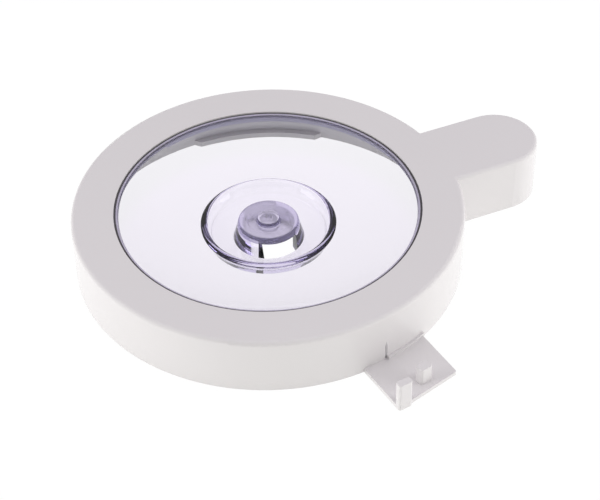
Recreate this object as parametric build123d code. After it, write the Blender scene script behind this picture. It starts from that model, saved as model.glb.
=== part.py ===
from build123d import *
import math
import os

# Food processor bowl lid. The origin is on the lid's axis at the bottom of the skirt,
# +Z is up and +X runs out along the handle cover. Millimetres and degrees.

# White frame: flat ring, skirt and handle cover
lid_radius = 90.0
lid_height = 28.0
skirt_wall = 1.8
top_wall = 2.2
edge_round = 1.9
ring_width = 19.4
cover_width = 39.2
cover_reach = 138.0

# Bayonet lugs inside the skirt
lug_count = 3
lug_angle = 70.9
lug_span = 39.0
lug_ramp = 2.2
lug_depth = 3.0
lug_height = 2.8

# Interlock plate and its two posts
plate_corner_angle = -85.2
plate_reach = 27.4
plate_front = 33.4
plate_front_turn = 16.0
plate_side_lean = 8.6
plate_thickness = 2.0
plate_corner_round = 1.0
post_round = 1.2
post_turn = 8.5
post_edge_round = 0.4
tall_post_width = 6.8
tall_post_depth = 3.6
tall_post_height = 12.7
short_post_width = 6.4
short_post_depth = 4.6
short_post_height = 8.6
short_post_along = 16.1
short_post_inset = 3.5
seam_height = 1.6
seam_proud = 1.1
slit_angle = -78.7
slit_width = 1.3
slit_height = 10.4

# Clear insert: rim, ribs, dished disc and well
insert_wall = 2.0
rim_overlap = 5.2
rim_clearance = 0.3
locator_wall = 1.4
locator_height = 2.6
rib_count = 3
rib_gap = 19.0
rib_wall = 1.5
rib_depth = 4.3
plug_gap = 0.15
plug_drop = 0.6
plug_land = 1.1
dish_drop = 7.8
dish_sag = 1.6
well_radius = 31.3
well_wall = 3.4
well_depth = 8.3
well_taper = 3.0
well_floor = 3.4
well_fall = 3.3
well_outer_round = 1.6
well_inner_round = 3.0
bead_height = 0.9
bead_fall = 0.6

# Hub in the well: cap on two legs with a straight-sided window between them on each side
hub_cap_radius = 13.8
hub_cap_taper = 0.7
hub_cap_rise = 6.5
hub_cap_rim = 3.0
hub_cap_wall = 2.0
hub_cap_round = 1.3
hub_cap_brim = 3.6
hub_cap_dish = 1.1
hub_foot_radius = 16.4
hub_bore = 12.0
hub_window_count = 2
hub_window_angle = -90.0
hub_window_width = 16.6
plateau_radius = 5.2
plateau_height = 1.2
plateau_round = 0.5
dimple_radius = 1.7
dimple_depth = 0.6
socket_radius = 4.0
socket_wall = 1.6
socket_depth = 5.0

# Sizes that follow from those above
seat_z = lid_height - top_wall
inside_radius = lid_radius - skirt_wall
window_radius = lid_radius - ring_width
cover_half = cover_width / 2
cover_centre = cover_reach - cover_half
rim_radius = window_radius + rim_overlap
plug_radius = window_radius - plug_gap
plug_top = lid_height - plug_drop
dish_radius = plug_radius - plug_land
dish_low = seat_z - dish_drop
well_bottom = dish_low - well_depth
floor_top = well_bottom + well_floor
cap_top = floor_top + hub_cap_rise
cap_low = cap_top - hub_cap_rim
socket_top = cap_top + plateau_height - hub_cap_wall
socket_mouth = socket_top - socket_depth
hub_foot_top = floor_top - well_fall
hub_bottom = well_bottom - well_fall
through = 1.0


def on_circle(radius, angle):
    turn = math.radians(angle)
    return (radius * math.cos(turn), radius * math.sin(turn))


def arc(radius, start, end):
    middle = on_circle(radius, (start + end) / 2)
    return ThreePointArc(on_circle(radius, start), middle, on_circle(radius, end))


def sector(inner, outer, centre, span, low, high):
    """Piece of a ring about the lid's axis, from radius inner to outer."""
    start = centre - span / 2
    end = centre + span / 2
    sides = [
        arc(inner, start, end),
        Line(on_circle(inner, end), on_circle(outer, end)),
        arc(outer, end, start),
        Line(on_circle(outer, start), on_circle(inner, start)),
    ]
    return Pos(0, 0, low) * extrude(make_face(sides), high - low)


def keyhole(radius, half_width, height, rounding):
    """Round body joined to the handle cover's straight sides and half-round end."""
    disc = extrude(Circle(radius), height)
    plan = Pos(cover_centre / 2, 0) * Rectangle(cover_centre, 2 * half_width)
    plan += Pos(cover_centre, 0) * Circle(half_width)
    tab = extrude(plan, height)
    if rounding:
        disc = fillet(disc.edges().group_by(Axis.Z)[-1], rounding)
        tab = fillet(tab.edges().group_by(Axis.Z)[-1], rounding)
    return disc + tab


def frame_shell():
    body = keyhole(lid_radius, cover_half, lid_height, edge_round)
    body -= keyhole(inside_radius, cover_half - skirt_wall, seat_z, 0)
    body -= extrude(Circle(window_radius), lid_height + through)
    locator_inner = rim_radius + rim_clearance
    locator = Circle(locator_inner + locator_wall) - Circle(locator_inner)
    body += Pos(0, 0, seat_z - locator_height) * extrude(locator, locator_height)
    return body


def bayonet_lug(angle):
    """Inward lug at the skirt's bottom edge, with a slanted ramp at each end."""
    inner = inside_radius - lug_depth
    outer = inside_radius + skirt_wall / 2
    half = lug_span / 2
    foot = half + lug_ramp
    sides = [
        arc(inner, -half, half),
        Line(on_circle(inner, half), on_circle(outer, foot)),
        arc(outer, foot, -foot),
        Line(on_circle(outer, -foot), on_circle(inner, -half)),
    ]
    return Rot(0, 0, angle) * extrude(make_face(sides), lug_height)


def plate_frame():
    """Place on the plate's front corner, x along its front edge and y towards the skirt."""
    corner = on_circle(lid_radius + plate_reach, plate_corner_angle)
    return Pos(*corner) * Rot(0, 0, plate_front_turn)


def interlock_plate():
    lean = math.tan(math.radians(plate_side_lean))
    depth = plate_reach + skirt_wall + plate_front / 2
    outline = Polyline(
        (0, 0),
        (plate_front, 0),
        (plate_front + lean * depth, depth),
        (lean * depth, depth),
        close=True,
    )
    plate = extrude(make_face(outline), plate_thickness)
    left_corner = plate.edges().filter_by(Axis.Z).sort_by_distance((0, 0, 0))[0]
    plate = fillet(left_corner, post_round)
    right_corner = plate.edges().filter_by(Axis.Z).sort_by_distance((plate_front, 0, 0))[0]
    plate = fillet(right_corner, plate_corner_round)
    plate = plate_frame() * plate
    return plate - extrude(Circle(lid_radius - skirt_wall / 2), lid_height)


def post(width, depth, height, along, inset, turn):
    """Upright post on the plate, its near left corner at (along, inset), turned about that corner."""
    plan = Pos(width / 2, depth / 2) * RectangleRounded(width, depth, post_round)
    plan = Pos(along, inset) * Rot(0, 0, -turn) * plan
    body = extrude(plan, plate_thickness + height)
    body = fillet(body.edges().group_by(Axis.Z)[-1], post_edge_round)
    return plate_frame() * body


def seam():
    """Low raised strip where the plate meets the skirt, from the slit to the plate's far side."""
    side_x = plate_front + plate_reach * math.tan(math.radians(plate_side_lean))
    far_side = plate_frame() * Pos(side_x, plate_reach)
    end = math.degrees(math.atan2(far_side.position.Y, far_side.position.X))
    inner = lid_radius - skirt_wall / 2
    high = plate_thickness + seam_height
    middle = (slit_angle + end) / 2
    return sector(inner, lid_radius + seam_proud, middle, end - slit_angle, 0, high)


def slit():
    """Narrow upright slit in the skirt above the plate, coming to a point."""
    half = slit_width / 2
    top = plate_thickness + slit_height
    outline = Polyline(
        (-half, plate_thickness),
        (half, plate_thickness),
        (half, top - 4 * half),
        (0, top),
        (-half, top - 4 * half),
        close=True,
    )
    blade = extrude(Plane.XZ * make_face(outline), 2 * (skirt_wall + seam_proud), both=True)
    return Rot(0, 0, slit_angle) * Pos(lid_radius, 0) * Rot(0, 0, 90) * blade


def frame():
    body = frame_shell()
    for index in range(lug_count):
        body += bayonet_lug(lug_angle + index * 360 / lug_count)
    body += interlock_plate()
    body += post(tall_post_width, tall_post_depth, tall_post_height, 0, 0, post_turn)
    body += post(
        short_post_width, short_post_depth, short_post_height, short_post_along, short_post_inset, 0
    )
    body += seam()
    return body - slit()


def rounded(section, corner, radius):
    """Round the section's corner at the given radius and height."""
    nearest = section.vertices().sort_by_distance((corner[0], corner[1], 0))[0]
    return fillet(nearest, radius)


def disc_and_well():
    """Rim, plug that fills the window, dished disc, and the well with its floor falling to the hub."""
    low_rim = seat_z - insert_wall
    under_dish = dish_low - insert_wall
    dish_middle = (dish_radius + well_radius) / 2
    dish_middle_z = (plug_top + dish_low) / 2 - dish_sag
    bead_inner = well_radius - well_wall
    bead_foot = dish_low - bead_fall
    well_inner_foot = bead_inner - well_taper * (bead_foot - floor_top) / well_depth
    well_outer_foot = well_radius - well_taper
    sides = [
        Line((rim_radius, seat_z), (plug_radius, seat_z)),
        Line((plug_radius, seat_z), (plug_radius, plug_top)),
        Line((plug_radius, plug_top), (dish_radius, plug_top)),
        ThreePointArc((dish_radius, plug_top), (dish_middle, dish_middle_z), (well_radius, dish_low)),
        ThreePointArc(
            (well_radius, dish_low),
            (well_radius - well_wall / 2, dish_low + bead_height),
            (bead_inner, bead_foot),
        ),
        Line((bead_inner, bead_foot), (well_inner_foot, floor_top)),
        Line((well_inner_foot, floor_top), (hub_foot_radius, hub_foot_top)),
        Line((hub_foot_radius, hub_foot_top), (hub_bore, hub_foot_top)),
        Line((hub_bore, hub_foot_top), (hub_bore, hub_bottom)),
        Line((hub_bore, hub_bottom), (hub_foot_radius, hub_bottom)),
        Line((hub_foot_radius, hub_bottom), (well_outer_foot, well_bottom)),
        Line((well_outer_foot, well_bottom), (well_radius, under_dish)),
        ThreePointArc(
            (well_radius, under_dish),
            (dish_middle, dish_middle_z - insert_wall),
            (dish_radius, plug_top - insert_wall),
        ),
        Line((dish_radius, plug_top - insert_wall), (dish_radius, low_rim)),
        Line((dish_radius, low_rim), (rim_radius, low_rim)),
        Line((rim_radius, low_rim), (rim_radius, seat_z)),
    ]
    section = make_face(sides)
    section = rounded(section, (well_inner_foot, floor_top), well_inner_round)
    section = rounded(section, (well_outer_foot, well_bottom), well_outer_round)
    return revolve(Plane.XZ * section, Axis.Z)


def rim_rib(angle):
    """Upright rib under the disc's edge, one of the gapped ring of ribs."""
    span = 360 / rib_count - rib_gap
    low = seat_z - rib_depth
    return sector(window_radius, window_radius + rib_wall, angle, span, low, seat_z - insert_wall / 2)


def hub_legs():
    """Ring with a tapered outside that the legs are cut from, from the floor up into the cap."""
    top_outer = hub_cap_radius + hub_cap_taper
    top = cap_low + hub_cap_rim / 2
    section = Polyline(
        (hub_foot_radius, hub_bottom),
        (hub_foot_radius, hub_foot_top),
        (top_outer, cap_low),
        (top_outer - hub_cap_wall / 2, top),
        (hub_bore, top),
        (hub_bore, hub_bottom),
        close=True,
    )
    return revolve(Plane.XZ * make_face(section), Axis.Z)


def hub_window(angle):
    """Straight-sided cut between the legs, open through the well's floor and up to the cap."""
    low = hub_bottom - through
    plan = Pos(hub_foot_radius, 0) * Rectangle(2 * hub_foot_radius, hub_window_width)
    plan = plan & Circle(hub_foot_radius)
    return Rot(0, 0, angle) * Pos(0, 0, low) * extrude(plan, cap_low - low)


def hub_cap():
    """Cap with a dished top, a raised plateau in it and a blind socket under it."""
    rim = hub_cap_radius + hub_cap_taper
    brim = hub_cap_radius - hub_cap_brim
    dish = cap_top - hub_cap_dish
    crown = cap_top + plateau_height
    section = make_face(
        Polyline(
            (0, crown),
            (plateau_radius, crown),
            (plateau_radius, dish),
            (brim, cap_top),
            (hub_cap_radius, cap_top),
            (rim, cap_low),
            (socket_radius + socket_wall, cap_low),
            (socket_radius + socket_wall, socket_mouth),
            (socket_radius, socket_mouth),
            (socket_radius, socket_top),
            (0, socket_top),
            close=True,
        )
    )
    section = rounded(section, (hub_cap_radius, cap_top), hub_cap_round)
    section = rounded(section, (plateau_radius, crown), plateau_round)
    cap = revolve(Plane.XZ * section, Axis.Z)
    ball_radius = (dimple_radius**2 + dimple_depth**2) / (2 * dimple_depth)
    return cap - Pos(0, 0, crown - dimple_depth + ball_radius) * Sphere(ball_radius)


def clear_insert():
    body = disc_and_well() + hub_legs()
    for index in range(hub_window_count):
        body -= hub_window(hub_window_angle + index * 360 / hub_window_count)
    for index in range(rib_count):
        body += rim_rib(180 / rib_count + index * 360 / rib_count)
    return body + hub_cap()


os.makedirs("parts", exist_ok=True)
export_step(frame(), "parts/lid_frame.step")
export_step(clear_insert(), "parts/clear_insert.step")
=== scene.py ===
import bpy
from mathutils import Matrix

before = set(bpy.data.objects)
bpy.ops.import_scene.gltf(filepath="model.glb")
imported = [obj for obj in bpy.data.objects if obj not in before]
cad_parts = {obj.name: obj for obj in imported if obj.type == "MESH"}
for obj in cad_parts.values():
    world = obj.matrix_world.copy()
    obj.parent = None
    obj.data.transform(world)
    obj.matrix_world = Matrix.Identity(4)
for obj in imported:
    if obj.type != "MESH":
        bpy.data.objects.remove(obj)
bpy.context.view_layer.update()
scene = bpy.context.scene
print("model loaded")

# camera at the photograph's viewing angle
viewpoint = {
    "place": (-0.2246, -0.5617, 0.5381),
    "turn": (0.8437, 0.0135, -0.4160),
    "sensorWidth": 36,
    "lens": 103.8,
    "nearest": 0.01,
    "farthest": 50,
}
bpy.ops.object.camera_add(location=viewpoint["place"], rotation=viewpoint["turn"])
camera = bpy.context.object
camera.data.sensor_width = viewpoint["sensorWidth"]
camera.data.lens = viewpoint["lens"]
camera.data.clip_start = viewpoint["nearest"]
camera.data.clip_end = viewpoint["farthest"]
scene.camera = camera
scene.view_settings.view_transform = "Standard"
print("camera placed")


class Link:  # a socket that takes part in sums and comparisons
    def __init__(self, tree, socket):
        self.tree = tree
        self.socket = socket

    def sum(self, operation, first, second=None):
        maths = self.tree.nodes.new("ShaderNodeMath")
        maths.operation = operation
        for place, value in enumerate((first, second)):
            if isinstance(value, Link):
                self.tree.links.new(value.socket, maths.inputs[place])
            elif value is not None:
                maths.inputs[place].default_value = value
        return Link(self.tree, maths.outputs[0])

    def __add__(self, other):
        return self.sum("ADD", self, other)

    def __rsub__(self, other):
        return self.sum("SUBTRACT", other, self)

    def __mul__(self, other):
        return self.sum("MULTIPLY", self, other)

    def __lt__(self, other):
        return self.sum("LESS_THAN", self, other)

    def __gt__(self, other):
        return self.sum("GREATER_THAN", self, other)

    def __pow__(self, other):
        return self.sum("POWER", self, other)


class Finish:  # the node tree of a material or of the world, emptied first
    def __init__(self, owner):
        if isinstance(owner, str):
            owner = bpy.data.materials.new(owner)
            owner.use_nodes = True
        self.material = owner
        self.tree = owner.node_tree
        self.tree.nodes.clear()

    def node(self, kind, settings=None, sockets=None, give=0):
        # the node's output called give, or the node itself where give is None
        made = self.tree.nodes.new(kind)
        for name, value in (settings or {}).items():
            setattr(made, name, value)
        for name, value in (sockets or {}).items():
            if isinstance(value, Link):
                self.tree.links.new(value.socket, made.inputs[name])
            else:
                made.inputs[name].default_value = value
        if give is None:
            return made
        return Link(self.tree, made.outputs[give])

    def shown(self, surface, volume=None):
        sockets = {"Surface": surface}
        if volume is not None:
            sockets["Volume"] = volume
        self.node("ShaderNodeOutputMaterial", sockets=sockets, give=None)
        return self.material

    def place(self):
        # object coordinates whole, then x, y, z and the radius about the lid's axis
        where = self.node("ShaderNodeTexCoord", give="Object")
        parts = self.node("ShaderNodeSeparateXYZ", sockets={0: where}, give=None)
        x, y, z = (Link(self.tree, parts.outputs[index]) for index in range(3))
        radius = (x * x + y * y) ** 0.5
        return where, x, y, z, radius

    def ease(self, value, low, high):
        # 0 below low, 1 above high, smooth between
        return self.node(
            "ShaderNodeMapRange",
            {"interpolation_type": "SMOOTHSTEP"},
            {"Value": value, "From Min": low, "From Max": high},
        )

    def blend(self, amount, first, second):
        mixer = self.node("ShaderNodeMix", {"data_type": "RGBA"}, {0: amount}, give=None)
        for place, value in ((6, first), (7, second)):
            if isinstance(value, Link):
                self.tree.links.new(value.socket, mixer.inputs[place])
            else:
                mixer.inputs[place].default_value = value
        return Link(self.tree, mixer.outputs[2])


# white moulding of the ring, skirt, handle cover and bracket
whitePlastic = {
    "colour": (0.735, 0.71, 0.722, 1),
    "cloudy": (0.715, 0.69, 0.705, 1),
    "cloudSize": 22,
    "cloudDetail": 2,
    "roughness": 0.14,
    "roughnessGrain": 0.05,
    "grainSize": 2600,
    "grainDetail": 1,
    "grain": 0.05,
    "grainDepth": 0.00005,
    "refraction": 1.5,
}


def makeWhite():
    finish = Finish("whiteMoulding")
    where, x, y, z, radius = finish.place()
    cloud, grain = (
        finish.node(
            "ShaderNodeTexNoise",
            None,
            {"Vector": where, "Scale": whitePlastic[kind + "Size"], "Detail": whitePlastic[kind + "Detail"]},
        )
        for kind in ("cloud", "grain")
    )
    bump = finish.node(
        "ShaderNodeBump",
        None,
        {"Height": grain, "Strength": whitePlastic["grain"], "Distance": whitePlastic["grainDepth"]},
    )
    colour = finish.blend(cloud, whitePlastic["colour"], whitePlastic["cloudy"])
    shader = finish.node(
        "ShaderNodeBsdfPrincipled",
        None,
        {
            "Base Color": colour,
            "Roughness": grain * whitePlastic["roughnessGrain"] + whitePlastic["roughness"],
            "IOR": whitePlastic["refraction"],
            "Normal": bump,
        },
    )
    return finish.shown(shader)


# clear moulding: frosted on the hub's cap, with painted shade on the cap's wall and round its plateau, milky on the
# rim and ribs under the ring, and a painted shadow as a dark band at the window's very edge
clearPlastic = {
    "tint": (1, 1, 1, 1),
    "absorb": (0.57, 0.49, 0.79, 1),
    "density": 60,
    "refraction": 1.56,
    "capRadius": 0.0148,
    "capHeight": 0.0164,
    "capColour": (0.76, 0.72, 0.88, 1),
    # painted shade: the darker cap colour used on the cap's wall and round its plateau
    "capPaintedShade": (0.4, 0.37, 0.55, 1),
    "capPaintedShadeRadius": 0.0134,
    "plateauPaintedShadeInner": 0.0049,
    "plateauPaintedShadeOuter": 0.0057,
    "capClear": 0.65,
    "capRoughness": 0.2,
    # painted shadow: a thin dark band at the window's very edge, where the plug meets the ring
    "gapShadowRadius": 0.0696,
    "gapShadowHeight": 0.027,
    "gapShadowColour": (0.055, 0.05, 0.058, 1),
    "gapShadowRoughness": 0.35,
    "rimRadius": 0.0688,
    "rimColour": (0.64, 0.6, 0.75, 1),
    "rimClear": 0.36,
    "rimRoughness": 0.4,
}


def makeClear():
    finish = Finish("clearMoulding")
    where, x, y, z, radius = finish.place()

    def plastic(colour, roughness, transmission):
        return finish.node(
            "ShaderNodeBsdfPrincipled",
            None,
            {
                "Base Color": colour,
                "Roughness": roughness,
                "Transmission Weight": transmission,
                "IOR": clearPlastic["refraction"],
            },
        )

    def over(part, first, second):
        return finish.node("ShaderNodeMixShader", None, {0: part, 1: first, 2: second})

    # painted shade: the frosted cap's colour is darker on its wall and in a ring round its plateau
    plateauPaintedShade = (radius > clearPlastic["plateauPaintedShadeInner"]) * (radius < clearPlastic["plateauPaintedShadeOuter"])
    side = (radius > clearPlastic["capPaintedShadeRadius"]) + plateauPaintedShade
    capColour = finish.blend(side, clearPlastic["capColour"], clearPlastic["capPaintedShade"])
    clear = plastic(clearPlastic["tint"], 0, 1)
    frosted = plastic(capColour, clearPlastic["capRoughness"], clearPlastic["capClear"])
    milky = plastic(clearPlastic["rimColour"], clearPlastic["rimRoughness"], clearPlastic["rimClear"])
    # painted shadow: an opaque dark surface in place of the shade in the gap between plug and ring
    gapShadow = finish.node(
        "ShaderNodeBsdfPrincipled",
        None,
        {"Base Color": clearPlastic["gapShadowColour"], "Roughness": clearPlastic["gapShadowRoughness"]},
    )
    onCap = (radius < clearPlastic["capRadius"]) * (z > clearPlastic["capHeight"])
    onRim = radius > clearPlastic["rimRadius"]
    inGapShadow = (radius > clearPlastic["gapShadowRadius"]) * (z > clearPlastic["gapShadowHeight"])
    shader = over(inGapShadow, over(onRim, over(onCap, clear, frosted), milky), gapShadow)
    body = finish.node(
        "ShaderNodeVolumeAbsorption",
        None,
        {"Color": clearPlastic["absorb"], "Density": clearPlastic["density"]},
    )
    return finish.shown(shader, body)


for name, make in (("lid_frame", makeWhite), ("clear_insert", makeClear)):
    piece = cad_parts[name]
    piece.data.materials.clear()
    piece.data.materials.append(make())
print("mouldings finished")

# pale ground: white to the camera and through the clear disc, and it keeps the lid's shadow
ground = {
    "size": 6,
    "drop": 0.0002,
    "colour": (0.93, 0.93, 0.92, 1),
    "shown": (1, 1, 1, 1),
    "shadow": 0.03,
    "glow": 0.42,
    "glowColour": (0.97, 1, 0.93, 1),
    "lidInner": 0.065,
    "lidOuter": 0.08,
    "lidPaintedLight": 0.5,  # painted light: the ground under the lid glows more, in place of the light that comes down through the clear disc
    "lidPaintedLightColour": (0.88, 0.94, 1, 1),
    "lidPaintedLightTint": (1.015, 0.992, 1.028, 1),
}


def makeGround():
    finish = Finish("paleGround")
    card = finish.node("ShaderNodeBsdfDiffuse", None, {"Color": ground["colour"]})
    where, x, y, z, radius = finish.place()
    # painted pool of light on the ground under the lid: a stronger, bluer glow, and a lilac tint where it is seen
    # through the clear disc
    paintedLightUnderLid = 1 - finish.ease(radius, ground["lidInner"], ground["lidOuter"])
    rays = finish.node("ShaderNodeLightPath", give=None)
    seen, through, glossy = (
        Link(finish.tree, rays.outputs[kind]) for kind in ("Is Camera Ray", "Is Transmission Ray", "Is Glossy Ray")
    )
    seen = seen.sum("MAXIMUM", seen.sum("MAXIMUM", seen, through), glossy)
    tint = finish.blend(through * paintedLightUnderLid, ground["shown"], ground["lidPaintedLightTint"])
    white = finish.node("ShaderNodeEmission", None, {"Color": tint, "Strength": 1})
    strength = paintedLightUnderLid * ground["lidPaintedLight"] + ground["glow"]
    glowColour = finish.blend(paintedLightUnderLid, ground["glowColour"], ground["lidPaintedLightColour"])
    glow = finish.node("ShaderNodeEmission", None, {"Color": glowColour, "Strength": strength})
    table = finish.node("ShaderNodeAddShader", None, {0: card, 1: glow})
    shader = finish.node("ShaderNodeMixShader", None, {0: seen * (1 - ground["shadow"]), 1: table, 2: white})
    return finish.shown(shader)


bpy.ops.mesh.primitive_plane_add(size=ground["size"], location=(0, 0, -ground["drop"]))
floor = bpy.context.object
floor.name = "ground"
floor.data.materials.append(makeGround())
print("ground laid")

# soft room: pale walls, bright overhead and low down, a darker patch in front of the lid, dim through the clear piece
room = {
    "walls": (0.57, 0.55, 0.565, 1),
    "overhead": (0.93, 0.905, 0.945, 1),
    "low": (1.5, 1.56, 1.35, 1),
    "lowReach": 0.35,
    "overheadFrom": 0.5,
    "back": (0.371, 0.928, 0),
    "backFrom": 0.1,
    "backFull": 0.7,
    "patch": (0.36, 0.37, 0.34, 1),
    "patchTowards": (-0.353, -0.883, 0.309),
    "patchInner": 0.9,
    "patchOuter": 0.6,
    "through": (0.03, 0.03, 0.035, 1),
    "plain": (1, 1, 1, 1),
}


def makeRoom():
    world = bpy.data.worlds.new("softRoom")
    world.use_nodes = True
    finish = Finish(world)
    towards = finish.node("ShaderNodeTexCoord", give="Generated")
    height = finish.node("ShaderNodeSeparateXYZ", None, {0: towards}, give=2)
    facing, behind = (
        finish.node("ShaderNodeVectorMath", {"operation": "DOT_PRODUCT"}, {0: towards, 1: room[side]}, give="Value")
        for side in ("patchTowards", "back")
    )
    raised = finish.ease(height, 0, room["lowReach"])
    away = finish.ease(behind, room["backFrom"], room["backFull"])
    walls = finish.blend(finish.ease(height, room["overheadFrom"], 1), room["walls"], room["overhead"])
    low = finish.blend(1 - (1 - raised) * (1 - away), room["low"], walls)
    colour = finish.blend(finish.ease(facing, room["patchOuter"], room["patchInner"]), low, room["patch"])
    rays = finish.node("ShaderNodeLightPath", give=None)
    seen, through = (Link(finish.tree, rays.outputs[kind]) for kind in ("Is Camera Ray", "Is Transmission Ray"))
    lit, dim, plain = (
        finish.node("ShaderNodeBackground", None, {"Color": shade, "Strength": 1})
        for shade in (colour, room["through"], room["plain"])
    )
    lit = finish.node("ShaderNodeMixShader", None, {0: through, 1: lit, 2: dim})
    shown = finish.node("ShaderNodeMixShader", None, {0: seen, 1: lit, 2: plain})
    finish.node("ShaderNodeOutputWorld", None, {"Surface": shown}, give=None)
    scene.world = world


makeRoom()
lamps = [
    {"name": "leftPanel", "place": (-0.9, 0.1, 0.35), "size": 0.6, "power": 3.0},
    {"name": "rightPanel", "place": (0.82, -0.45, 0.35), "size": 0.6, "power": 3.2},
]
for lamp in lamps:
    light = bpy.data.lights.new(lamp["name"], "AREA")
    light.size = lamp["size"]
    light.energy = lamp["power"]
    holder = bpy.data.objects.new(lamp["name"], light)
    scene.collection.objects.link(holder)
    holder.location = lamp["place"]
    holder.visible_glossy = False  # no panel burns out in the ring's top at a low angle
    aim = -holder.location
    holder.rotation_euler = aim.to_track_quat("-Z", "Y").to_euler()
print("room lit")
